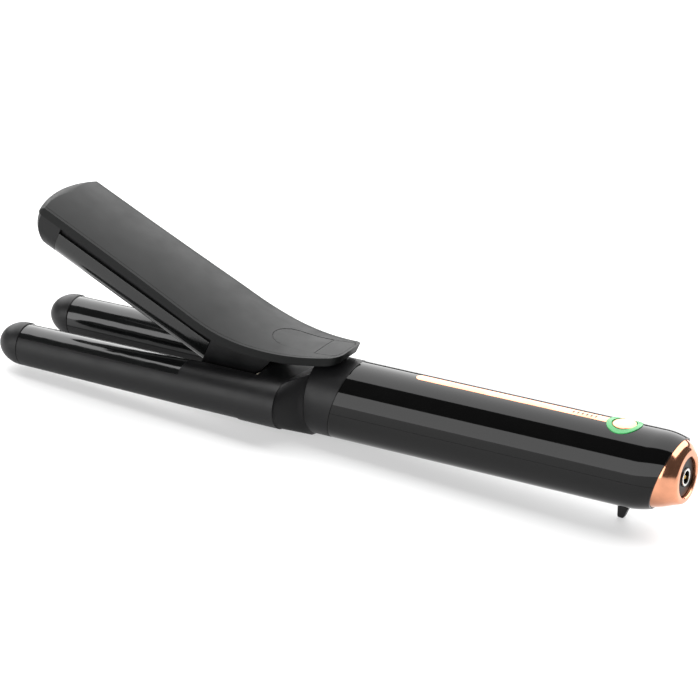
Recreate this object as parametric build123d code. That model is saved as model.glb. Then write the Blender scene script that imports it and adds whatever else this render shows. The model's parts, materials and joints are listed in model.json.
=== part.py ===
from build123d import *
import os
from math import atan2, cos, degrees, radians, sin

# Cordless hair waver: two fixed barrels on a fork, and a third one on a sprung clamp arm.
# Everything is drawn with the handle's axis along X, the barrel tips at x = 0 and the clamp open.
# save_all() then rests it on its foot and its collar, with the origin at the bottom centre.

# driving dimensions, millimetres and degrees
handle_r = 18.25
wall = 2.2
inner_r = handle_r - wall
total_length = 337.1
parting = 0.12

barrel_y = 20.3
cover_r = 10.5
cover_tip_r = 9.8
cover_wall = 1.15
core_r = 9.1
core_bore_r = 7.3
cap_seam, cap_front, cap_r, cap_rise = 13.2, -1.0, 10.3, 0.4
heated_end = 100.9
core_end = 117.5
glow_low, glow_high = -8.0, 140.0

lobe_r = 10.9
lobe_seam_x, lobe_seam_by_y, lobe_seam_by_z = 131.2, 0.457, 0.13
lobe_end = 151.9
valley_x = 160.0
collar_seam_x, collar_slope = 173.7, 0.274
web_front, web_bottom = 137.0, -10.0
shoulder_r, shoulder_end, lobe_step = 19.4, 158.4, 0.4
deck_rise, deck_wall, shoulder_bottom = 0.3, 1.8, -17.9

tail_seam_x, tail_slope = 328.7, 0.32
tail_taper, tail_taper_r, tail_taper_steps = 11.0, 36.0, 6
tail_cap_r, tail_cap_sunk = 15.6, 1.5
tail_bulge_x, tail_bulge_slope, tail_bulge_r, tail_bulge_rise = 334.7, 0.07, 13.2, 0.7
tail_end_r, tail_end_rise, tail_chamfer = 11.8, 0.3, 0.6
plate_r = 8.65
plate_face = 335.6
jack_bore_r, jack_ring_r, jack_pin_r = 2.8, 3.9, 1.0

button_x = 307.2
button_r, button_bore_r, ring_r = 5.2, 5.5, 7.8
button_top = 18.45
button_travel = 0.5
stem_r, stem_end = 1.5, 11.0
strip_start, strip_end, strip_width, strip_depth = 207.2, 299.3, 5.1, 1.1

foot_front, foot_rear, foot_tip_front, foot_tip_rear = 305.9, 311.7, 306.8, 308.3
foot_depth, foot_width = 25.2, 3.0

arm_angle = 24.8
arm_x, arm_z = 32.2, 66.8
arm_straight, arm_curve_r = 85.0, 112.0
arm_front, arm_rear = -13.4, 147.2
arm_sides = [(0, 21.0), (50, 21.6), (80, 22.5), (97, 21.8), (113, 19.3), (128, 16.0), (142, 12.0)]
arm_corner, arm_front_bow, arm_nose_round = 3.5, 3.1, 7.0
arm_crown, arm_crown_r = 2.0, 116.6
arm_thick, skin_thick, skin_inset = 4.0, 1.2, 1.3
pad_start, pad_split, pad_half_width = 111.0, 134.8, 8.8
channel_r, channel_wall, channel_top, channel_depth = 9.0, 1.5, 15.2, 19.6
channel_front, channel_rear, nose_length = -1.0, 88.0, 16.3
beam_half_width = 7.3
keel_half_width = 9.0

pivot_x, pivot_z = 132.2, 2.0
pin_r, pin_half_length, pin_clearance = 2.0, 16.0, 0.06
knuckle_r, knuckle_half_width = 8.0, 6.4

cell_r, cell_length, cell_z, cell_front = 9.2, 65.0, -5.2, 186.0
cell_gap = 2.0
board_bottom, board_thick, board_front, board_rear, board_half_width = 7.2, 1.6, 226.0, 315.5, 11.0

board_top = board_bottom + board_thick
big = 1200.0
sides = {"left": -1, "right": 1}
arm = Pos(arm_x, 0, arm_z) * Rot(0, arm_angle, 0)
parts = {}


def rod(r, x0, x1, y=0.0, z=0.0):
    """A round bar along X."""
    return Pos((x0 + x1) / 2, y, z) * Rot(0, 90, 0) * Cylinder(r, x1 - x0)


def block(x0, x1, y0, y1, z0, z1):
    return Pos((x0 + x1) / 2, (y0 + y1) / 2, (z0 + z1) / 2) * Box(x1 - x0, y1 - y0, z1 - z0)


def post(r, x, y, z0, z1):
    """A round bar along Z."""
    return Pos(x, y, (z0 + z1) / 2) * Cylinder(r, z1 - z0)


def cross_pin(r, half_length, x=pivot_x, z=pivot_z):
    """A round bar along Y, centred on y = 0."""
    return Pos(x, 0, z) * Rot(90, 0, 0) * Cylinder(r, 2 * half_length)


def half_space(origin, normal):
    """A large block that starts at a plane and lies on the side its normal points to."""
    return Plane(origin=origin, z_dir=normal).location * Pos(0, 0, big / 2) * Box(big, big, big)


def behind(x, slope):
    """All that lies tailwards of the plane x + slope * z."""
    return half_space((x, 0, 0), (1, 0, -slope))


def side_profile(points, half_width):
    """A closed outline in X and Z, given a width along Y."""
    return extrude(make_face(Plane.XZ * Polyline(*points, close=True)), half_width, both=True)


# lower barrels


def barrel_sector(side, r_outer, r_tip, angle0, angle1, x0, x1):
    """A wedge of a tapering barrel between two angles about its own axis.

    On the left barrel 0 is inwards, 90 is up and 180 is outwards. The right one is its mirror image.
    """
    slim = r_tip + (r_outer - r_tip) * (x0 - cap_seam) / (heated_end - cap_seam)
    outline = make_face(Plane.XZ * Polyline((x0, 0), (x0, slim), (x1, r_outer), (x1, 0), close=True))
    wedge = Rot(angle0 - 90, 0, 0) * revolve(outline, Axis.X, angle1 - angle0)
    if side > 0:
        wedge = mirror(wedge, Plane.XZ)
    return Pos(0, side * barrel_y, 0) * wedge


def barrel(side):
    """Ceramic-coated aluminium barrel: a core tube with a raised face towards the clamp."""
    core = rod(core_r, cap_seam - 1.5, core_end, side * barrel_y)
    face = barrel_sector(side, cover_r - 0.1, cover_tip_r - 0.1, glow_low + 1, glow_high - 1,
                         cap_seam, heated_end)
    bore = rod(core_bore_r, cap_seam - 2, core_end + 1, side * barrel_y)
    return core + face - bore


def lobe_seam(side):
    """All that lies tailwards of the slanted seam between a barrel cover and its fork lobe."""
    origin = (lobe_seam_x, side * (barrel_y + lobe_r), 0)
    return half_space(origin, (1, side * lobe_seam_by_y, -lobe_seam_by_z))


def barrel_cover(side):
    """Heat shield: open towards the clamp along the heated length, then a full tube up to the fork."""
    y = side * barrel_y
    shell = rod(cover_r, heated_end, lobe_end, y)
    shell -= rod(core_r + 0.15, heated_end - 1, big, y)
    trough = barrel_sector(side, cover_r, cover_tip_r, glow_high, glow_low + 360, cap_seam, heated_end)
    shell += trough - rod(core_r + 0.15, 0, heated_end + 1, y)
    return shell - lobe_seam(side) - cross_pin(pin_r + 0.4, 20)


def end_cap(side):
    """Blunt dome, a little fuller than the barrel, with a spigot into the barrel's bore."""
    reach = cap_seam - cap_front
    dome = make_face(Plane.XZ * (EllipticalCenterArc((cap_seam, 0), reach, cap_r, 90, arc_size=90)
                                 + Polyline((cap_front, 0), (cap_seam, 0), (cap_seam, cap_r))))
    cap = Pos(0, 0, cap_rise) * revolve(dome, Axis.X)
    cap -= rod(core_r + 0.1, cap_seam - 1.5, cap_seam + 1)
    cap += rod(core_bore_r - 0.05, cap_seam - 1.5, cap_seam + 3)
    return Pos(0, side * barrel_y, 0) * cap


def heater(side):
    """Flat ceramic heating element on the barrel's centre plane."""
    y = side * barrel_y
    return block(22, 98, y - 5, y + 5, -1.1, 1.1)


def heater_wedges(side):
    """Two half-round aluminium bars that press the element's heat into the barrel."""
    y = side * barrel_y
    bar = rod(core_bore_r - 0.05, 20, 100, y)
    return bar - block(19, 101, y - 9, y + 9, -1.15, 1.15)


def barrel_seat(side):
    """Heat-proof bush between the barrel's cool end and the fork."""
    y = side * barrel_y
    bush = rod(core_bore_r - 0.05, core_end - 6, core_end + 2, y)
    bush += rod(core_r, core_end, core_end + 2, y)
    return bush - rod(4, core_end - 7, core_end + 3, y)


def thermistors():
    return [rod(1.0, 101, 108, side * barrel_y, 3) for side in sides.values()]


def thermal_fuse():
    return rod(1.6, 141, 151, -barrel_y, -4.2)


# fork, collar and handle


def shoulder(lobe, ring, x0, x1):
    """Two slanted cones that run together: from each lobe to one round end against the collar."""
    end = Plane.YZ.offset(x1) * Circle(ring)
    starts = [Plane.YZ.offset(x0) * Pos(side * barrel_y, 0) * Circle(lobe) for side in sides.values()]
    left, right = [loft([start, end], ruled=True) for start in starts]
    return left + right


def deck(drop=0.0):
    """All that lies above the fork's flat top, which climbs from the lobes to the collar."""
    return half_space((lobe_end, 0, lobe_r + 0.05 - drop), (-deck_rise, 0, 1))


def fork_housing():
    """Moulded fork: two lobes, a web between them, and stubs inside the covers for the hinge pin."""
    body = shoulder(lobe_r - lobe_step, shoulder_r, lobe_end - 0.5, shoulder_end)
    body += block(lobe_end - 0.5, shoulder_end - 3, -barrel_y, barrel_y, web_bottom, lobe_r)
    body += loft([Plane.YZ.offset(shoulder_end) * Circle(shoulder_r),
                  Plane.YZ.offset(valley_x) * Circle(handle_r - 0.3)], ruled=True)
    body = body - deck() - block(lobe_end - 5, valley_x + 1, -40, 40, -40, shoulder_bottom)
    web = block(web_front, lobe_end, -barrel_y, barrel_y, web_bottom, lobe_r)
    for side in sides.values():
        y = side * barrel_y
        body += rod(lobe_r, 125, lobe_end, y) & lobe_seam(side)
        body += rod(core_r, core_end + 2, lobe_end, y)
        web -= rod(cover_r + 0.1, web_front - 1, lobe_end, y) - lobe_seam(side)
    body += web
    body += rod(inner_r - 0.1, valley_x, collar_seam_x + 12) - rod(inner_r - 1.8, valley_x - 1, big)
    hollow = shoulder(lobe_r - 3, inner_r - 2, lobe_end - 3, valley_x + 0.1) - deck(deck_wall)
    for side in sides.values():
        hollow += rod(6.4, core_end + 1, lobe_end, side * barrel_y)
    body -= hollow
    body -= cross_pin(knuckle_r + 1.6, keel_half_width + 0.4)
    body -= cross_pin(pin_r, pin_half_length)
    return body - fork_screws()


def fork_screws():
    """Two screws that close the web from below."""
    return [post(1.3, 147, y, -9.4, -3) + post(2.4, 147, y, web_bottom, -8.6) for y in (-6, 6)]


def collar():
    """Satin ring that hides the joint between the fork and the handle."""
    ring = rod(handle_r, valley_x, collar_seam_x + 10) - rod(inner_r, valley_x - 1, big)
    return ring - behind(collar_seam_x, collar_slope)


def handle_blank():
    """The handle's outer body: a round bar that draws in gently towards its slanted tail rim."""
    sections = []
    for step in range(tail_taper_steps + 1):
        along = tail_taper * step / tail_taper_steps
        r = handle_r - tail_taper_r + (tail_taper_r ** 2 - along ** 2) ** 0.5
        middle = (tail_seam_x - tail_taper + along, 0, 0)
        slanted = Plane(origin=middle, x_dir=(0, 1, 0), z_dir=(1, 0, -tail_slope))
        sections.append(slanted * Ellipse(r, r * (1 + tail_slope ** 2) ** 0.5))
    bar = rod(handle_r, valley_x, 360) - behind(tail_seam_x - tail_taper, tail_slope)
    return (bar + loft(sections)) & behind(collar_seam_x, collar_slope)


def tail_section(x, slope, r, rise):
    """One section of the tail cap, on a plane that leans like the rim."""
    leaning = Plane(origin=(x, 0, rise), x_dir=(0, 1, 0), z_dir=(1, 0, -slope))
    return leaning * Ellipse(r, r * (1 + slope ** 2) ** 0.5)


def tail_cone():
    """The tail cap's solid: steep above and shallow below, from the slanted rim to the upright end."""
    end = total_length - tail_chamfer
    sections = [(tail_seam_x - tail_cap_sunk, tail_slope, tail_cap_r, 0),
                (tail_seam_x, tail_slope, tail_cap_r, 0),
                (tail_bulge_x, tail_bulge_slope, tail_bulge_r, tail_bulge_rise),
                (end, 0, tail_end_r, tail_end_rise),
                (total_length, 0, tail_end_r - tail_chamfer, tail_end_rise)]
    return loft([tail_section(*section) for section in sections], ruled=True)


def handle_shell(upper):
    """One half of the handle, hollow, with openings for the strip, the button's ring or the foot."""
    body = handle_blank() - rod(inner_r, valley_x, 318) - rod(12.5, 317, 400) - tail_cone()
    cut = parting / 2 if upper else -parting / 2
    body &= half_space((0, 0, cut), (0, 0, 1 if upper else -1))
    if upper:
        body -= strip_shape(strip_width, 0, big) - rod(handle_r - strip_depth, 150, 350)
        body -= post(ring_r, button_x, 0, 10, 30)
    else:
        body -= rest_foot()
    return body


def strip_shape(width, z0, z1):
    """The strip's outline from above: a long bar with a rounded front, ending at the button's ring."""
    outline = Rectangle(strip_end - strip_start - width / 2, width)
    middle = (strip_start + width / 2 + strip_end) / 2
    flat = Pos(middle, 0) * outline + Pos(strip_start + width / 2, 0) * Circle(width / 2)
    return extrude(Pos(0, 0, z0) * flat, z1 - z0) - post(ring_r, button_x, 0, -1, big)


def accent_strip():
    skin = rod(handle_r + 0.1, 190, 310) - rod(handle_r - strip_depth, 180, 320)
    return strip_shape(strip_width, 0, 60) & skin


def light_ring():
    """Translucent ring about the button, standing a little proud of the handle."""
    ring = post(ring_r, button_x, 0, 13.6, 30) - post(button_bore_r, button_x, 0, 13, 31)
    return ring & rod(handle_r + 0.35, 290, 330)


def tail_cap():
    return tail_cone() - rod(plate_r, 320, 340)


def jack_plate():
    plate = rod(plate_r, plate_face - 3, plate_face)
    return plate - rod(jack_ring_r, 320, 340)


def jack_ring():
    return rod(jack_ring_r, 327, plate_face + 0.9) - rod(jack_bore_r, 328, 340)


def jack_pin():
    return rod(jack_pin_r, 328, plate_face + 0.3)


def jack_body():
    """Moulded body behind the jack's sleeve."""
    return rod(7.5, 322, plate_face - 3) - rod(jack_ring_r, 327, 340)


def inlet_board():
    return rod(11.5, 320.2, 321.8)


def rest_foot():
    """Thin fin under the tail that the waver rests on, with its tip cut level with the table."""
    fin = side_profile([(foot_front, -inner_r + 1), (foot_front, -foot_depth + 0.8),
                        (foot_tip_front, -foot_depth - 1), (foot_tip_rear, -foot_depth - 1),
                        (foot_rear, -handle_r), (foot_rear, -inner_r + 1)], foot_width / 2)
    contact = (foot_tip_front + foot_tip_rear) / 2
    tilt = radians(rest_tilt())
    return fin - half_space((contact, 0, -foot_depth), (-sin(tilt), 0, -cos(tilt)))


def rest_tilt():
    """How far the barrels point down when the waver rests on its foot and its collar."""
    contact = (foot_tip_front + foot_tip_rear) / 2
    return degrees(atan2(foot_depth - handle_r, contact - valley_x))


# button, cells and boards


def power_button():
    """Shallow domed button on a stem that reaches the switch."""
    dome_r = 60.0
    face = post(button_r, button_x, 0, 15.2, 20) & Pos(button_x, 0, button_top - dome_r) * Sphere(dome_r)
    return face + post(stem_r, button_x, 0, stem_end, 15.5)


def power_switch():
    body = block(button_x - 3, button_x + 3, -3, 3, board_top, 12.4)
    return body - post(stem_r + 0.3, button_x, 0, stem_end - button_travel - 0.5, 20)


def status_leds():
    """Four small lamps under the translucent ring."""
    spots = [(dx, dy) for dx in (-4.7, 4.7) for dy in (-4.7, 4.7)]
    return [block(button_x + dx - 1.3, button_x + dx + 1.3, dy - 0.9, dy + 0.9, board_top, 10.4)
            for dx, dy in spots]


def battery(index):
    """One lithium cell, with its raised positive button towards the barrels."""
    start = cell_front + index * (cell_length + cell_gap)
    return rod(cell_r, start + 1, start + cell_length, 0, cell_z) + rod(3, start, start + 1.5, 0, cell_z)


def cell_tabs():
    """Nickel strips that join the cells end to end and lead to the board."""
    joint = cell_front + cell_length
    ends = [(cell_front - 0.4, cell_front), (joint, joint + cell_gap),
            (joint + cell_gap + cell_length, joint + cell_gap + cell_length + 0.4)]
    return [block(x0, x1, -3, 3, cell_z - 3, cell_z + 3) for x0, x1 in ends]


def battery_cradle():
    """Trough that carries both cells."""
    trough = rod(cell_r + 1.3, cell_front + 4, cell_front + 2 * cell_length - 14, 0, cell_z)
    trough -= rod(cell_r + 0.1, 0, big, 0, cell_z)
    return trough & half_space((0, 0, cell_z - 1), (0, 0, -1)) & rod(inner_r - 0.1, 0, big)


def main_board():
    return block(board_front, board_rear, -board_half_width, board_half_width, board_bottom, board_top)


def control_chips():
    """Controller, charger, inductor and power transistors on the main board."""
    places = [(262, 0, 7, 7, 1.0), (281, -3, 5, 5, 1.0), (244, 3, 8, 8, 3.2), (232, -4, 6, 5, 2.2),
              (232, 4, 6, 5, 2.2), (273, 5, 3, 4, 1.4)]
    return [block(x - w / 2, x + w / 2, y - d / 2, y + d / 2, board_top, board_top + h)
            for x, y, w, d, h in places]


def heater_leads():
    """A sleeved pair of wires from each barrel's heater back to the board."""
    leads = []
    for side in sides.values():
        route = [(core_end + 4, side * barrel_y, 0), (149, side * (barrel_y - 0.8), 0), (164, side * 7, 5.8),
                 (board_front + 4, side * 8, 5.6)]
        path = FilletPolyline(*route, radius=8)
        leads.append(sweep(Plane(origin=path @ 0, z_dir=path % 0) * Circle(1.1), path))
    return leads


# clamp arm, drawn level along X with the cover's side edges at z = 0, then turned up to the open pose


def arm_path():
    straight = Line((-30, 0, 0), (arm_straight, 0, 0))
    bend = CenterArc((arm_straight, arm_curve_r, 0), arm_curve_r, -90, 44)
    return Plane.XZ * (straight + bend)


def arm_sheet(top, bottom):
    """The cover's arched section between two heights, carried along the arm's side curve."""
    centre = arm_crown - arm_crown_r
    band = Pos(0, centre) * Circle(arm_crown_r + top) - Pos(0, centre) * Circle(arm_crown_r + bottom)
    band &= Pos(0, top / 2) * Rectangle(52, 60 + abs(top))
    band = [face for face in band.faces() if face.center().Y > -40]
    return sweep(Plane(origin=(-30, 0, 0), x_dir=(0, 1, 0), z_dir=(1, 0, 0)) * band[0], arm_path())


def arm_outline(inset=0.0):
    """The arm from above: a bowed front with small round corners, narrowing to the thumb lever."""
    front, rear = arm_front + inset, arm_rear - inset
    width, corner = arm_sides[0][1] - inset, arm_corner - inset / 2
    front_side = front + arm_front_bow
    side = [(front_side + corner, width)] + [(x, y - inset) for x, y in arm_sides[1:]]
    half = [RadiusArc((front_side, width - corner), side[0], corner)]
    half += [ThreePointArc(*side[i:i + 3]) for i in (0, 2, 4)]
    half += [ThreePointArc(side[-1], (rear - 1.3, side[-1][1] - 2.2), (rear, side[-1][1] - 5.5))]
    ends = [ThreePointArc(half[0] @ 0, (front, 0), mirror(half[0], Plane.XZ) @ 0),
            Line(half[-1] @ 1, mirror(half[-1], Plane.XZ) @ 1)]
    face = make_face(half + [mirror(edge, Plane.XZ) for edge in half] + ends)
    return Pos(0, 0, -30) * face


def arm_nose():
    """What the rounded front edge takes off the arm: a quarter-round cut that follows the bowed front."""
    half_width = arm_sides[0][1] - arm_corner
    bow_r = (half_width ** 2 + arm_front_bow ** 2) / (2 * arm_front_bow)
    tall = arm_thick + arm_crown
    outer, inner = bow_r + 10, bow_r - arm_nose_round
    round_over = EllipticalCenterArc((inner, -arm_thick), arm_nose_round, tall, 0, arc_size=90)
    outside = Polyline((inner, arm_crown), (inner, 20), (outer, 20), (outer, -arm_thick), (bow_r, -arm_thick))
    corner = make_face(Plane.XZ * (round_over + outside))
    ring = Pos(arm_front + bow_r, 0, 0) * revolve(corner, Axis.Z)
    return ring & block(-60, arm_front + arm_front_bow + 2 * arm_nose_round, -40, 40, -30, 40)


def arm_slab(inset=0.0):
    return extrude(arm_outline(inset), 90, dir=(0, 0, 1))


def skin_bed():
    """The shallow recess in the cover that holds the skin and the thumb inlay."""
    return arm_sheet(0.5, -skin_thick) & arm_slab(skin_inset)


def pad_slab(start, end, half_width):
    """The thumb inlay from above: a bar with a round front end."""
    bar = block(start + half_width, end, -half_width, half_width, -30, 60)
    return bar + post(half_width, start + half_width, 0, -30, 60)


def clamp_cover():
    return (arm_sheet(0, -arm_thick) & arm_slab()) - skin_bed() - arm_nose()


def clamp_skin():
    skin = arm_sheet(0, -skin_thick) & arm_slab(skin_inset + 0.15)
    return skin - pad_slab(pad_start, big, pad_half_width) - arm_nose()


def thumb_pad():
    pad = arm_sheet(-0.1, -skin_thick) & arm_slab(skin_inset + 0.15)
    return pad & pad_slab(pad_start + 0.2, pad_split, pad_half_width - 0.2)


def lever_tip():
    tip = arm_sheet(0, -skin_thick) & arm_slab(skin_inset + 0.15)
    return tip & block(pad_split + 0.3, 170, -pad_half_width + 0.2, pad_half_width - 0.2, -30, 60)


def channel_section(r, depth_top):
    """The clamp barrel's outline across the arm: a half round with straight sides above it."""
    sides_up = Pos(0, (-channel_depth - depth_top) / 2) * Rectangle(2 * r, channel_depth - depth_top)
    return Plane.YZ * (Pos(0, -channel_depth) * Circle(r) + sides_up)


def clamp_barrel():
    """Ceramic-coated aluminium channel with a half-round working face."""
    outer = extrude(Pos(channel_front, 0, 0) * channel_section(channel_r, channel_top),
                    channel_rear - channel_front)
    inner = extrude(Pos(channel_front - 1, 0, 0) * channel_section(channel_r - channel_wall, channel_top - 9),
                    channel_rear - channel_front + 2)
    above = block(-20, 120, -15, 15, -channel_top, 10)
    return outer - inner - above


def clamp_nose_cap():
    """Blunt cap that closes the clamp barrel's front end."""
    bar = extrude(Pos(channel_front - nose_length, 0, 0) * channel_section(channel_r, 1), nose_length)
    dome = Pos(channel_front, 0, -15) * scale(Sphere(1), (nose_length, 13, 14.5))
    cap = (bar & dome) - arm_sheet(30, -arm_thick)
    return cap - block(-10.2, 5, -beam_half_width - 0.1, beam_half_width + 0.1, -19.1, 0)


def clamp_beam():
    """The stiff beam inside the arm, from the nose to the clamp barrel's rear end."""
    beam = block(-10, channel_rear + 0.5, -beam_half_width, beam_half_width, -19, 6)
    return beam - arm_sheet(30, -arm_thick)


def clamp_keel():
    """The part of the frame that reaches down between the lobes, and the lever's underside."""
    a, b = arm * Pos(channel_rear + 0.2, 0, 6), arm * Pos(channel_rear + 0.2, 0, -27.5)
    outline = [(a.position.X, a.position.Z), (b.position.X, b.position.Z), (110, -1.5), (120, 0.5),
               (127.5, 5.6), (132.4, 8.4), (136.8, 12.5), (139.5, 17), (140, 30)]
    keel = side_profile(outline, keel_half_width)
    return keel - arm * arm_sheet(60, -arm_thick)


def clamp_frame():
    """Beam, keel and hinge knuckle in one moulding, bored for the pin, with a pocket for the spring."""
    neck = [(120, 0.5), (126.5, -3.6), (pivot_x, -3), (pivot_x + 3, 8), (127.5, 8)]
    frame = arm * clamp_beam() + clamp_keel()
    frame += cross_pin(knuckle_r, knuckle_half_width) + side_profile(neck, knuckle_half_width)
    frame -= cross_pin(pin_r + pin_clearance, 30)
    pocket = cross_pin(5.6, 3.6)
    pocket += block(pivot_x - 2.5, pivot_x + 2.5, -3.6, 3.6, pivot_z - 12, pivot_z)
    return frame - pocket - [arm * screw for screw in clamp_screws()]


def clamp_screws():
    """Screws that hold the frame to the cover, one inside the nose and one behind the barrel."""
    return [post(1.3, s, 0, -12, -4.2) + post(2.4, s, 0, -14, -12) for s in (-6, 96)]


def clamp_heater():
    return block(4, 84, -4.8, 4.8, -23.4, -21.2)


# hinge


def hinge_pin():
    return cross_pin(pin_r, pin_half_length)


def hinge_washers():
    """One washer each side of the knuckle, filling the gap to the lobes."""
    ring = cross_pin(4.4, 1.4) - cross_pin(pin_r, 5)
    return [Pos(0, side * 8.1, 0) * ring for side in sides.values()]


def clamp_spring():
    """Torsion spring about the hinge pin, which closes the clamp."""
    coil_r, wire_r, turns, pitch = 4.3, 0.55, 4, 1.5
    path = Helix(pitch=pitch, height=turns * pitch, radius=coil_r)
    coil = sweep(Plane(origin=path @ 0, z_dir=path % 0) * Circle(wire_r), path)
    return Pos(pivot_x, turns * pitch / 2, pivot_z) * Rot(90, 0, 0) * coil


def save_all():
    """Rest the whole object on its foot and collar, centre it over the origin, and write each node."""
    rested = {name: Rot(0, -rest_tilt(), 0) * shape for name, shape in parts.items()}
    boxes = [shape.bounding_box() for shape in rested.values()]
    middle = (min(box.min.X for box in boxes) + max(box.max.X for box in boxes)) / 2
    shift = Pos(-middle, 0, -min(box.min.Z for box in boxes))
    os.makedirs("parts", exist_ok=True)
    for name, shape in rested.items():
        export_step(shift * shape, "parts/" + name + ".step")
    return shift


def whole(shape):
    """One shape per node, whatever a function returned."""
    return Compound(children=list(shape)) if isinstance(shape, (list, ShapeList)) else shape


for name, side in sides.items():
    parts["barrel_" + name] = barrel(side)
    parts["barrel_cover_" + name] = barrel_cover(side)
    parts["end_cap_" + name] = end_cap(side)
    parts["heater_" + name] = heater(side)
    parts["heater_wedges_" + name] = heater_wedges(side)
    parts["barrel_seat_" + name] = barrel_seat(side)
for make in (thermistors, thermal_fuse, fork_housing, fork_screws, collar, accent_strip, light_ring,
             tail_cap, jack_plate, jack_ring, jack_pin, jack_body, inlet_board, rest_foot,
             power_button, power_switch, status_leds, cell_tabs, battery_cradle, main_board,
             control_chips, heater_leads, clamp_frame, hinge_pin, hinge_washers, clamp_spring):
    parts[make.__name__] = whole(make())
for make in (clamp_cover, clamp_skin, thumb_pad, lever_tip, clamp_barrel, clamp_nose_cap,
             clamp_screws, clamp_heater):
    parts[make.__name__] = arm * whole(make())
for index, name in enumerate(("battery_front", "battery_rear")):
    parts[name] = battery(index)
parts["handle_upper_shell"] = handle_shell(True)
parts["handle_lower_shell"] = handle_shell(False)
to_row_frame = save_all()
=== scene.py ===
import json
from math import atan, atan2, cos, pi, radians, sin

import bmesh
import bpy
from mathutils import Matrix, Vector


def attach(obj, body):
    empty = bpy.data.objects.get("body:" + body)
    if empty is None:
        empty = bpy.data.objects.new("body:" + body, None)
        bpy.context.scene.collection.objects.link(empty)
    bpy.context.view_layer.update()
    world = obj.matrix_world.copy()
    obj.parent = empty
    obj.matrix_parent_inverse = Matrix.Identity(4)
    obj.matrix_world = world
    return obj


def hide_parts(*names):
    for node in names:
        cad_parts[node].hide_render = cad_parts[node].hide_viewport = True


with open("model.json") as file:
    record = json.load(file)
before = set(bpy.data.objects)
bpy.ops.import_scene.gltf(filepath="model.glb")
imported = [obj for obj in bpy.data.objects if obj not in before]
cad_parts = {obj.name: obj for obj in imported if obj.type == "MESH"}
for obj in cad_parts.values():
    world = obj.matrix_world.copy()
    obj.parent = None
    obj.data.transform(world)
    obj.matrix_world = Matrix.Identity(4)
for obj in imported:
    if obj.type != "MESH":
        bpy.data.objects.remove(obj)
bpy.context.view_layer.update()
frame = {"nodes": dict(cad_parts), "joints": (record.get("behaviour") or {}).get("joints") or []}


# the CAD axis lies tilted: the press axis gives the tilt, the hinge gives the shift
joints = {joint["name"]: joint for joint in frame["joints"]}
pressAxis = joints["power_press"]["axis"]
pivotInMm = Vector((132.2, 0, 2.0))
tilt = Matrix.Rotation(-atan2(pressAxis[0], -pressAxis[2]), 4, "Y")
pivotAtRest = Vector(joints["clamp_hinge"]["pos_m"])
toRow = Matrix.Translation(pivotAtRest) @ tilt @ Matrix.Scale(0.001, 4) @ Matrix.Translation(-pivotInMm)


# materials


def linear(hexColour):      # sRGB hex to the linear values that Blender works in
    channels = [int(hexColour[i:i + 2], 16) / 255 for i in (1, 3, 5)]
    return [c / 12.92 if c <= 0.04045 else ((c + 0.055) / 1.055) ** 2.4 for c in channels] + [1.0]


def perMetre(mm):           # texture scale whose features are this many millimetres across
    return 1000 / mm


def addNode(tree, kind, links=None, inputs=None, **settings):
    node = tree.nodes.new("ShaderNode" + kind)
    for name, value in settings.items():
        setattr(node, name, value)
    for socket, value in (inputs or {}).items():
        node.inputs[socket].default_value = value
    for socket, source in (links or {}).items():
        tree.links.new(source, node.inputs[socket])
    return node


def makeFinish(name, colour, rough, spread=0.05, metal=0.0, level=0.5, grain=0.6, relief=0.004,
               mottle=0.15, blotch=9.0, **extra):
    # one moulded, plated or coated finish: grain and relief in mm, roughness spread by soft blotches
    material = bpy.data.materials.new(name)
    material.use_nodes = True
    tree = material.node_tree
    tree.nodes.clear()
    spot = addNode(tree, "TexCoord").outputs["Object"]
    wide = addNode(tree, "TexNoise", {"Vector": spot}, {"Scale": perMetre(blotch), "Detail": 3.0})
    fine = addNode(tree, "TexNoise", {"Vector": spot}, {"Scale": perMetre(grain), "Detail": 2.0})
    roughness = addNode(tree, "MapRange", {"Value": wide.outputs["Fac"]},
                        {"From Min": 0.3, "From Max": 0.7,
                         "To Min": rough - spread, "To Max": rough + spread})
    dark = [c * (1 - mottle) for c in linear(colour)[:3]] + [1.0]
    pale = [min(1.0, c * (1 + mottle)) for c in linear(colour)[:3]] + [1.0]
    tint = addNode(tree, "ValToRGB", {"Fac": wide.outputs["Fac"]})
    tint.color_ramp.elements[0].position, tint.color_ramp.elements[1].position = 0.3, 0.7
    tint.color_ramp.elements[0].color, tint.color_ramp.elements[1].color = dark, pale
    bump = addNode(tree, "Bump", {"Height": fine.outputs["Fac"]},
                   {"Strength": 1.0, "Distance": relief / 1000})
    shader = addNode(tree, "BsdfPrincipled",
                     {"Base Color": tint.outputs["Color"], "Roughness": roughness.outputs["Result"],
                      "Normal": bump.outputs["Normal"]},
                     {"Metallic": metal, "Specular IOR Level": level, **extra})
    output = addNode(tree, "OutputMaterial", {"Surface": shader.outputs["BSDF"]})
    output.location, shader.location = (600, 0), (300, 0)
    return material


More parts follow.
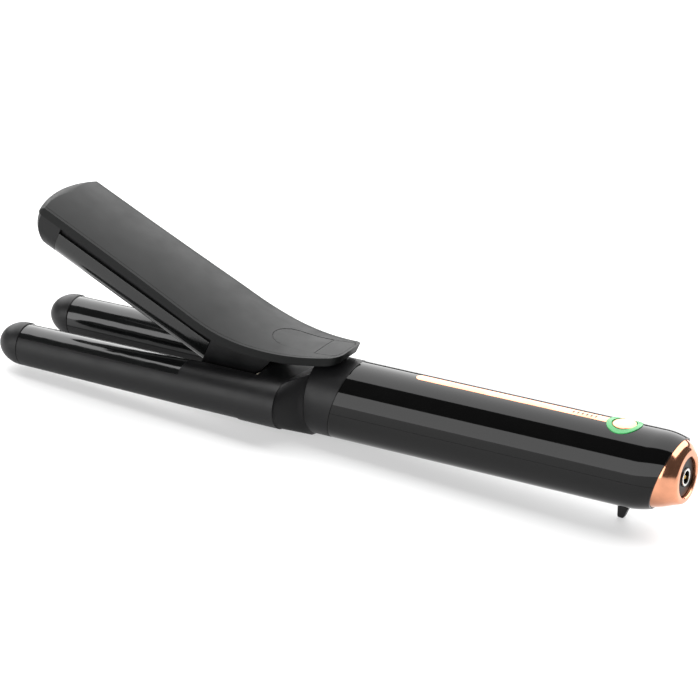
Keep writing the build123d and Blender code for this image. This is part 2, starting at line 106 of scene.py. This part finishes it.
finishes = {
    # high-gloss moulded ABS: near black, mirror-like, with a faint orange peel
    "gloss_black": makeFinish("glossyAbs", "#050505", 0.05, spread=0.02, level=0.25, grain=6.0,
                              relief=0.004),
    # sprayed soft-touch paint: an even dark grey with a wide, weak sheen
    "satin_grey": makeFinish("softTouchPaint", "#0d0e0e", 0.44, spread=0.04, level=0.14, grain=0.7,
                             relief=0.006, mottle=0.06),
    # nylon from a spark-textured mould: fine matte grain, drawn as coarse as it needs to show
    "matte_black": makeFinish("sparkTexturedNylon", "#0a0a0b", 0.44, spread=0.05, level=0.24, grain=0.8,
                              relief=0.012, mottle=0.08),
    # plated over polished plastic: warm metal with slightly softened reflections
    "rose_gold": makeFinish("roseGoldElectroplate", "#d69676", 0.15, spread=0.03, metal=1.0, grain=9,
                            relief=0.003),
    # frosted lens lit from below: an even green glow under a soft sheen
    "green_lens": makeFinish("frostedPolycarbonate", "#1f7a3c", 0.28, spread=0.04, grain=0.5, mottle=0.2,
                             blotch=3.0,
                             **{"Emission Color": linear("#38c765"), "Emission Strength": 0.22}),
    # sprayed and fired ceramic on aluminium: black and glossy, a little softer than the handle
    "ceramic_coat": makeFinish("ceramicCoatedAluminium", "#0b0c0c", 0.11, spread=0.03, level=0.45,
                               grain=0.9, relief=0.001),
    # bright bath plating and turning leave clear reflections, grinding blurs them
    "nickel_plate": makeFinish("brightNickelPlate", "#c9c9c6", 0.16, metal=1.0),
    "brass_pin": makeFinish("turnedBrass", "#c39a45", 0.22, metal=1.0),
    "steel": makeFinish("groundSteel", "#9a9a9a", 0.3, metal=1.0),
    # the inner parts: moulded, sintered, extruded, laminated and shrunk, each as it comes from its process
    "nylon": makeFinish("naturalNylon", "#cfc8b6", 0.5),
    "heat_ceramic": makeFinish("alumina", "#ece6da", 0.6),
    "bare_aluminium": makeFinish("extrudedAluminium", "#b9bcbe", 0.35, metal=1.0),
    "board": makeFinish("solderMaskedBoard", "#1f5b35", 0.35),
    "chip": makeFinish("epoxyChipPackage", "#17181a", 0.55),
    "cell_wrap": makeFinish("shrinkWrap", "#2f6f8f", 0.32),
    "lead_sleeve": makeFinish("glassFibreSleeve", "#d9d3c4", 0.7),
}
for name, node in frame["nodes"].items():
    own = node.data.materials[0].name.split(".")[0]
    node.material_slots[0].material = finishes[own]
print("materials done")


# modelling helpers: pieces are drawn in millimetres along the handle's axis, then placed


def deselect():
    bpy.ops.object.select_all(action="DESELECT")


def settle(piece):          # the primitive's place goes into its mesh
    piece.data.transform(piece.matrix_basis)
    piece.matrix_basis = Matrix.Identity(4)
    return piece


def addShape(kind, name, **settings):
    deselect()
    getattr(bpy.ops.mesh, "primitive_" + kind + "_add")(**settings)
    piece = bpy.context.object
    piece.name = piece.data.name = name
    return settle(piece)


def takeUp(piece):
    deselect()
    piece.select_set(True)
    bpy.context.view_layer.objects.active = piece


def edit(piece):
    takeUp(piece)
    bpy.ops.object.mode_set(mode="EDIT")
    bpy.ops.mesh.select_mode(type="FACE")
    bpy.ops.mesh.select_all(action="SELECT")


def leaveEdit():
    bpy.ops.object.mode_set(mode="OBJECT")


def pickFaces(piece, wanted):
    bpy.ops.mesh.select_all(action="DESELECT")
    mesh = bmesh.from_edit_mesh(piece.data)
    for face in mesh.faces:
        if wanted(face):
            face.select_set(True)
    bmesh.update_edit_mesh(piece.data)


def drawOn(move, grow, centre):     # extrudes what is selected and scales it about a centre
    bpy.ops.mesh.extrude_region_move(TRANSFORM_OT_translate={"value": move})
    bpy.ops.transform.resize(value=grow, center_override=centre)


def closeUp():              # merged and facing outwards
    bpy.ops.mesh.select_all(action="SELECT")
    bpy.ops.mesh.remove_doubles(threshold=0.0005)
    bpy.ops.mesh.normals_make_consistent(inside=False)


def drawRings(name, rings, sides=96, at=(0, 0), hollow=False):
    # a turned piece, drawn from ring to ring, each an (x, radius)
    # a hollow one comes back to its first ring
    x, radius = rings[0]
    piece = addShape("circle", name, vertices=sides, radius=radius, location=(x, at[0], at[1]),
                     fill_type="NOTHING" if hollow else "NGON", rotation=(0, radians(90), 0))
    edit(piece)
    if hollow:
        bpy.ops.mesh.select_mode(type="EDGE")
        bpy.ops.mesh.select_all(action="SELECT")
    for nextX, nextRadius in rings[1:]:
        grow = nextRadius / radius
        drawOn((nextX - x, 0, 0), (1, grow, grow), (nextX, at[0], at[1]))
        x, radius = nextX, nextRadius
    closeUp()
    leaveEdit()
    return piece


def drawHollow(name, rings, sides):    # comes back to its first ring
    return drawRings(name, rings + rings[:1], sides, hollow=True)


def trim(piece, point, normal):     # cuts off what lies beyond a plane and closes the cut
    edit(piece)
    bpy.ops.mesh.bisect(plane_co=point, plane_no=Vector(normal).normalized(), use_fill=True,
                        clear_outer=True)
    leaveEdit()
    return piece


def combine(piece, cutter, operation="DIFFERENCE"):     # the cutter is used up
    takeUp(piece)
    change = piece.modifiers.new("cut", "BOOLEAN")
    change.operation, change.solver, change.object = operation, "EXACT", cutter
    bpy.ops.object.modifier_apply(modifier=change.name)
    bpy.data.objects.remove(cutter)
    return piece


def softenEdges(piece, width, segments=2, angle=35):
    takeUp(piece)
    change = piece.modifiers.new("edges", "BEVEL")
    change.width, change.segments, change.limit_method = width, segments, "ANGLE"
    change.angle_limit, change.use_clamp_overlap, change.harden_normals = radians(angle), True, False
    bpy.ops.object.modifier_apply(modifier=change.name)
    return piece


def evenShading(piece):     # large faces set the shading, so thin triangles don't streak
    takeUp(piece)
    bpy.ops.object.shade_smooth_by_angle(angle=radians(32))
    change = piece.modifiers.new("shading", "WEIGHTED_NORMAL")
    change.keep_sharp, change.weight = True, 100
    bpy.ops.object.modifier_apply(modifier=change.name)


def place(piece, body, slot, *nodes, drawnInRow=False):
    # from millimetres along the axis to the model's own frame, with its finish and what it stands for
    if not drawnInRow:
        piece.data.transform(toRow)
    evenShading(piece)
    piece.data.materials.clear()
    piece.data.materials.append(finishes[slot])
    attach(piece, body)
    if nodes:
        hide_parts(*nodes)
    return piece


def duplicate(piece, name, move=(0, 0, 0)):
    twin = piece.copy()
    twin.data = piece.data.copy()
    twin.name = twin.data.name = name
    bpy.context.scene.collection.objects.link(twin)
    twin.data.transform(Matrix.Translation(move))
    return twin


# handle: two glossy shells, drawn as one bar and split along the side
handle = {"radius": 18.25, "bore": 16.05, "boreEnd": 320, "front": 173.78, "frontSlope": 0.274,
          "rim": 328.7, "rimSlope": 0.32, "taper": 11.0, "taperRadius": 36.0, "steps": 11,
          "rimWall": 2.0, "opening": 15.75, "openingDepth": 1.3, "seam": 0.06, "edge": 0.16, "sides": 160}
button = {"x": 307.2, "radius": 5.2, "bore": 5.5, "ring": 7.8, "ringProud": 0.35, "ringEdge": 0.3,
          "edge": 0.22, "middle": 16.7, "depth": 3.0, "stem": 0.288, "stemLength": 4.2}
foot = {"x": 308.8, "length": 5.8, "width": 3.0, "middle": -18, "height": 8}


def bar(name, radius, start, end):      # a plain round bar with the handle's number of sides
    return drawRings(name, [(start, radius), (end, radius)], handle["sides"])


blank = bar("handleBlank", handle["radius"], 150, 340)
trim(blank, (handle["front"], 0, 0), (-1, 0, handle["frontSlope"]))
taperStart = handle["rim"] - handle["taper"]
tailward = Vector((1, 0, -handle["rimSlope"])).normalized()
trim(blank, (taperStart, 0, 0), tailward)
tailSteps = []                          # how far each ring moves, its radius, and where its centre is
for step in range(1, handle["steps"] + 1):
    along = handle["taper"] * step / handle["steps"]
    drawnIn = handle["taperRadius"] - (handle["taperRadius"] ** 2 - along ** 2) ** 0.5
    tailSteps.append((handle["taper"] / handle["steps"], handle["radius"] - drawnIn, taperStart + along))
for deeper, nextRadius in ((0.1, handle["radius"] - handle["rimWall"]), (0.0, handle["opening"]),
                           (-handle["openingDepth"], handle["opening"] - 0.05)):
    tailSteps.append((deeper, nextRadius, handle["rim"] + deeper))
edit(blank)
pickFaces(blank, lambda face: face.normal.dot(tailward) > 0.999)
radius = handle["radius"]
for move, nextRadius, centre in tailSteps:
    drawOn((move, 0, 0), (nextRadius / radius,) * 3, (centre, 0, 0))
    radius = nextRadius
closeUp()
leaveEdit()
combine(blank, bar("handleBore", handle["bore"], 140, handle["boreEnd"]))
lowerShell = duplicate(blank, "lowerShell")
trim(lowerShell, (0, 0, -handle["seam"]), (0, 0, 1))
upperShell = trim(blank, (0, 0, handle["seam"]), (0, 0, -1))
upperShell.name = upperShell.data.name = "upperShell"


# accent strip: a groove in the upper shell, and the rose-gold inlay with small lamp windows near the button
strip = {"front": 207.2, "rear": 302.3, "width": 5.1, "depth": 1.1, "proud": 0.1, "gap": 0.1, "edge": 0.18}
windows = {"first": 283.4, "pitch": 2.1, "count": 6, "across": 0.8, "long": 2.0, "thick": 0.3,
           "proud": 0.03, "edge": 0.12}


def stripPrism(name, inset):
    # the strip from above: a bar with a round front, tall enough to cut the shell or to be cut to its curve
    width, front = strip["width"] - 2 * inset, strip["front"] + inset
    bottom, top = 10, 30
    middle = (front + width / 2 + strip["rear"]) / 2
    prism = addShape("cube", name, size=1, location=(middle, 0, (bottom + top) / 2),
                     scale=(strip["rear"] - front - width / 2, width, top - bottom))
    head = addShape("cylinder", name + "Head", vertices=48, radius=width / 2, depth=top - bottom,
                    location=(front + width / 2, 0, (bottom + top) / 2))
    return combine(prism, head, "UNION")


def upright(name, radius, bottom, top):     # a round bar through the button's centre
    return addShape("cylinder", name, vertices=128, radius=radius, depth=top - bottom,
                    location=(button["x"], 0, (bottom + top) / 2))


grooveFloor = handle["radius"] - strip["depth"]
groove = combine(stripPrism("stripGroove", 0), bar("grooveFloor", grooveFloor, 190, 320))
combine(upperShell, groove)
combine(upperShell, upright("ringHole", button["ring"], 8, 30))
combine(lowerShell, addShape("cube", "footHole", size=1, location=(foot["x"], 0, foot["middle"]),
                             scale=(foot["length"], foot["width"], foot["height"])))
for shell, node in ((upperShell, "handle_upper_shell"), (lowerShell, "handle_lower_shell")):
    softenEdges(shell, handle["edge"])
    place(shell, "handle", "gloss_black", node)
print("handle done")

accent = combine(stripPrism("accentInlay", strip["gap"]), bar("inlayFloor", grooveFloor + 0.02, 190, 320))
inlayTop = handle["radius"] + strip["proud"]
combine(accent, bar("inlayTop", inlayTop, 190, 320), "INTERSECT")
combine(accent, upright("inlayEnd", button["ring"] + strip["gap"], 0, 40))
softenEdges(accent, strip["edge"], 3)
place(accent, "handle", "rose_gold", "accent_strip")
window = addShape("cube", "window", size=1, scale=(windows["across"], windows["long"], windows["thick"]),
                  location=(windows["first"], 0, inlayTop + windows["proud"] - windows["thick"] / 2))
softenEdges(window, windows["edge"])
for index in range(windows["count"]):
    copy = duplicate(window, "lampWindow%d" % (index + 1), (index * windows["pitch"], 0, 0))
    place(copy, "handle", "matte_black")
bpy.data.objects.remove(window)
print("strip done")


# button and the frosted ring round it
lens = upright("ringLens", button["ring"] - 0.06, 13.6, 30)
combine(lens, upright("ringLensBore", button["bore"], 10, 34))
combine(lens, bar("ringTop", handle["radius"] + button["ringProud"], 290, 330), "INTERSECT")
softenEdges(lens, button["ringEdge"], 3)
place(lens, "handle", "green_lens", "light_ring")
cap = addShape("cylinder", "pushCap", vertices=96, radius=button["radius"], depth=button["depth"],
               location=(button["x"], 0, button["middle"]))
edit(cap)
buttonCentre = (button["x"], 0, 0)
for rise, grow in ((0.075, 0.94), (0.095, 0.80), (0.045, 0.6), (0.025, 0.3)):     # the shallow dome
    pickFaces(cap, lambda face: face.normal.z > 0.9 and len(face.verts) > 8)
    drawOn((0, 0, rise), (grow, grow, 1), buttonCentre)
pickFaces(cap, lambda face: face.normal.z < -0.9)
drawOn((0, 0, 0), (button["stem"], button["stem"], 1), buttonCentre)
drawOn((0, 0, -button["stemLength"]), (1, 1, 1), buttonCentre)
closeUp()
leaveEdit()
softenEdges(cap, button["edge"], 3, 50)
place(cap, "button", "rose_gold", "power_button")
print("button done")


# tail: copper-toned cap, black face, charging jack
tail = {"seam": 328.7, "slope": 0.32, "radius": 15.6, "sunk": 1.2, "end": 337.1, "bore": 8.65}
jack = {"face": 335.6, "back": 332.6, "plate": 8.6, "hole": 3.95, "bevel": 0.3, "sleeve": 3.88,
        "sleeveStart": 327, "sleeveEnd": 336.5, "bore": 2.8, "root": 328, "pin": 1.0, "pinEnd": 335.9}
# each section leans less than the one before: x, slope, radius, height of its centre
coneSections = [(tail["seam"], tail["slope"], tail["radius"], 0.0), (330.6, 0.24, 15.0, 0.15),
                (332.6, 0.16, 14.25, 0.4), (334.7, 0.07, 13.2, 0.7), (335.8, 0.02, 12.45, 0.5),
                (tail["end"] - 0.65, 0.0, 11.9, 0.35), (tail["end"] - 0.3, 0.0, 11.5, 0.3),
                (tail["end"] - 0.1, 0.0, 11.0, 0.3), (tail["end"], 0.0, 10.4, 0.3)]
startX, lean = tail["seam"] - tail["sunk"], atan(tail["slope"])
cone = addShape("circle", "copperCap", vertices=128, radius=tail["radius"], fill_type="NGON",
                location=(startX, 0, 0), rotation=(0, radians(90) + lean, 0))
edit(cone)
bpy.ops.transform.resize(value=(1 / cos(lean), 1, 1 / cos(lean)), center_override=(startX, 0, 0))
last = (startX, lean, tail["radius"], 0.0)
for x, slope, radius, rise in coneSections:
    lastX, lastLean, lastRadius, lastRise = last
    lean, grow = atan(slope), radius / lastRadius
    tall = grow * cos(lastLean) / cos(lean)
    drawOn((x - lastX, 0, rise - lastRise), (tall, grow, tall), (x, 0, rise))
    bpy.ops.transform.rotate(value=lastLean - lean, orient_axis="Y", center_override=(x, 0, rise))
    last = (x, lean, radius, rise)
closeUp()
leaveEdit()
wellRings = [(300, tail["bore"]), (335.9, tail["bore"]), (336.7, tail["bore"] + 0.1),
             (tail["end"] - 0.1, tail["bore"] + 0.35), (338.5, tail["bore"] + 1.8)]
combine(cone, drawRings("jackWell", wellRings, 128))
place(cone, "handle", "rose_gold", "tail_cap")

face, plate, hole, bevel = jack["face"], jack["plate"], jack["hole"], jack["bevel"]
plateRings = [(jack["back"], plate), (face - bevel, plate), (face, plate - bevel), (face, hole + bevel),
              (face - bevel, hole), (jack["back"], hole)]
place(drawHollow("jackFace", plateRings, 96), "handle", "matte_black", "jack_plate")
sleeve, bore, lip = jack["sleeve"], jack["bore"], jack["sleeveEnd"]
sleeveRings = [(jack["sleeveStart"], sleeve), (lip - 0.3, sleeve), (lip - 0.1, sleeve - 0.08),
               (lip, sleeve - 0.28), (lip, bore + 0.3), (lip - 0.15, bore + 0.05), (lip - 0.4, bore),
               (jack["root"], bore), (jack["root"], 0.05)]
place(drawRings("jackSleeve", sleeveRings, 64), "handle", "nickel_plate", "jack_ring")
pin, tip = jack["pin"], jack["pinEnd"]
pinRings = [(jack["root"], pin), (tip - 0.6, pin), (tip - 0.2, pin * 0.85), (tip, pin / 2), (tip, 0.02)]
place(drawRings("jackContact", pinRings, 32), "handle", "brass_pin", "jack_pin")
print("tail done")


# collar between the fork and the handle
collar = {"front": 160, "rear": 184, "seam": 173.62, "edge": 0.28}
collarRings = [(collar["front"], handle["bore"]), (collar["front"], handle["radius"] - 0.5),
               (collar["front"] + 0.15, handle["radius"] - 0.2), (collar["front"] + 0.5, handle["radius"]),
               (collar["rear"], handle["radius"]), (collar["rear"], handle["bore"])]
collarPiece = drawHollow("satinCollar", collarRings, handle["sides"])
trim(collarPiece, (collar["seam"], 0, 0), (1, 0, -handle["frontSlope"]))
softenEdges(collarPiece, collar["edge"], 3, 60)
place(collarPiece, "handle", "matte_black", "collar")
print("collar done")


# end caps: blunt domes, drawn once and copied to the other barrel
endCap = {"seam": 13.2, "front": -1.0, "radius": 10.3, "rise": 0.2, "draw": 0.35, "groove": 0.25,
          "step": 0.7, "spigot": 7.25, "barrel": 20.3, "rings": 14}
domeEnd = endCap["seam"] - endCap["groove"]
domeLength = domeEnd - endCap["front"]
domeRings = []
for index in range(endCap["rings"] + 1):
    angle = radians(1 + 89 * index / endCap["rings"])
    drawnIn = endCap["draw"] * (index / endCap["rings"]) ** 6
    domeRings.append((domeEnd - domeLength * cos(angle), endCap["radius"] * sin(angle) - drawnIn))
domeRings += [(endCap["seam"], endCap["radius"] - endCap["step"]), (endCap["seam"], endCap["spigot"]),
              (endCap["seam"] + 3, endCap["spigot"] - 0.2)]
dome = drawRings("leftDome", domeRings, 96, at=(-endCap["barrel"], endCap["rise"]))
rightDome = duplicate(dome, "rightDome", (0, 2 * endCap["barrel"], 0))
place(dome, "handle", "matte_black", "end_cap_left")
place(rightDome, "handle", "matte_black", "end_cap_right")
print("end caps done")


# pieces that keep the shape of their node: a merged copy with its edges eased, each radius in mm
mouldings = {
    "clamp_cover": ("armShell", "clamp", "satin_grey", 0.35),
    "clamp_skin": ("armSkin", "clamp", "satin_grey", 0.22),
    "thumb_pad": ("thumbInlay", "clamp", "satin_grey", 0.22),
    "lever_tip": ("leverInlay", "clamp", "satin_grey", 0.22),
    "clamp_barrel": ("clampChannel", "clamp", "ceramic_coat", 0.25),
    "clamp_nose_cap": ("clampNose", "clamp", "matte_black", 0.3),
    "fork_housing": ("forkMoulding", "handle", "matte_black", 0.35),
    "barrel_cover_left": ("leftShield", "handle", "matte_black", 0.2),
    "barrel_cover_right": ("rightShield", "handle", "matte_black", 0.2),
    "barrel_left": ("leftTube", "handle", "ceramic_coat", 0.15),
    "barrel_right": ("rightTube", "handle", "ceramic_coat", 0.15),
    "rest_foot": ("restFin", "handle", "matte_black", 0.3),
}
for node, (name, body, slot, edgeWidth) in mouldings.items():
    piece = duplicate(frame["nodes"][node], name)
    piece.parent = None
    piece.matrix_world = Matrix.Identity(4)
    edit(piece)
    bpy.ops.mesh.remove_doubles(threshold=0.000002)
    leaveEdit()
    softenEdges(piece, edgeWidth / 1000, 2, 40)
    place(piece, body, slot, node, drawnInRow=True)
print("mouldings done")


# floor, light and camera
studio = {"floor": 8.0, "floorDrop": 0.0002, "softboxRadiance": 4.0, "worldStrength": 0.12}
# backlit acrylic: an even white that takes only a faint shadow
floorFinish = makeFinish("backlitAcrylic", "#b4b4b4", 0.6, grain=1.5, relief=0.002, mottle=0.01, blotch=300,
                         **{"Emission Color": linear("#ffffff"), "Emission Strength": 0.45})
floor = addShape("plane", "floor", size=studio["floor"], location=(0, 0, -studio["floorDrop"]))
floor.data.materials.append(floorFinish)


def addSoftbox(name, corner, far, wide, radiance):
    # a flat panel whose lower and upper edges run along X through two (y, z) places
    centre = Vector((wide[0], (corner[0] + far[0]) / 2, (corner[1] + far[1]) / 2))
    across = Vector((0, far[0] - corner[0], far[1] - corner[1]))
    light = bpy.data.lights.new(name, "AREA")
    light.shape = "RECTANGLE"
    light.size, light.size_y = wide[1], across.length
    light.energy = radiance * pi * wide[1] * across.length
    lamp = bpy.data.objects.new(name, light)
    bpy.context.scene.collection.objects.link(lamp)
    up = across.normalized()
    side = Vector((1, 0, 0))
    normal = side.cross(up)
    if normal.dot(-centre) > 0:     # a lamp shines along its own -Z
        normal = -normal
    side = up.cross(normal)
    lamp.matrix_world = Matrix.Translation(centre) @ Matrix((side, up, normal)).transposed().to_4x4()
    return lamp


addSoftbox("topSoftbox", (-0.152, 1.12), (2.30, 0.42), (-0.8, 4.0), studio["softboxRadiance"])
addSoftbox("frontSoftbox", (-1.3, 0.0), (-1.3, 0.98), (-0.85, 2.8), studio["softboxRadiance"])

world = bpy.data.worlds.new("studio")
world.use_nodes = True
world.node_tree.nodes["Background"].inputs["Color"].default_value = (1, 1, 1, 1)
world.node_tree.nodes["Background"].inputs["Strength"].default_value = studio["worldStrength"]
bpy.context.scene.world = world
bpy.context.scene.view_settings.view_transform = "Standard"

cameraView = {"azimuth": 30.05, "elevation": 22.775, "distance": 1321.5, "target": (173.6, 0, 23.6),
              "lens": 154.2}
azimuth, elevation = radians(cameraView["azimuth"]), radians(cameraView["elevation"])
back = Vector((sin(azimuth) * cos(elevation), -cos(azimuth) * cos(elevation), sin(elevation)))
camera = bpy.data.objects.new("camera", bpy.data.cameras.new("camera"))
bpy.context.scene.collection.objects.link(camera)
camera.data.lens = cameraView["lens"]
camera.data.sensor_width = 36
camera.location = toRow @ (Vector(cameraView["target"]) + back * cameraView["distance"])
camera.rotation_mode = "QUATERNION"
camera.rotation_quaternion = tilt.to_quaternion() @ (-back).to_track_quat("-Z", "Y")
bpy.context.scene.camera = camera
print("floor, light and camera done")
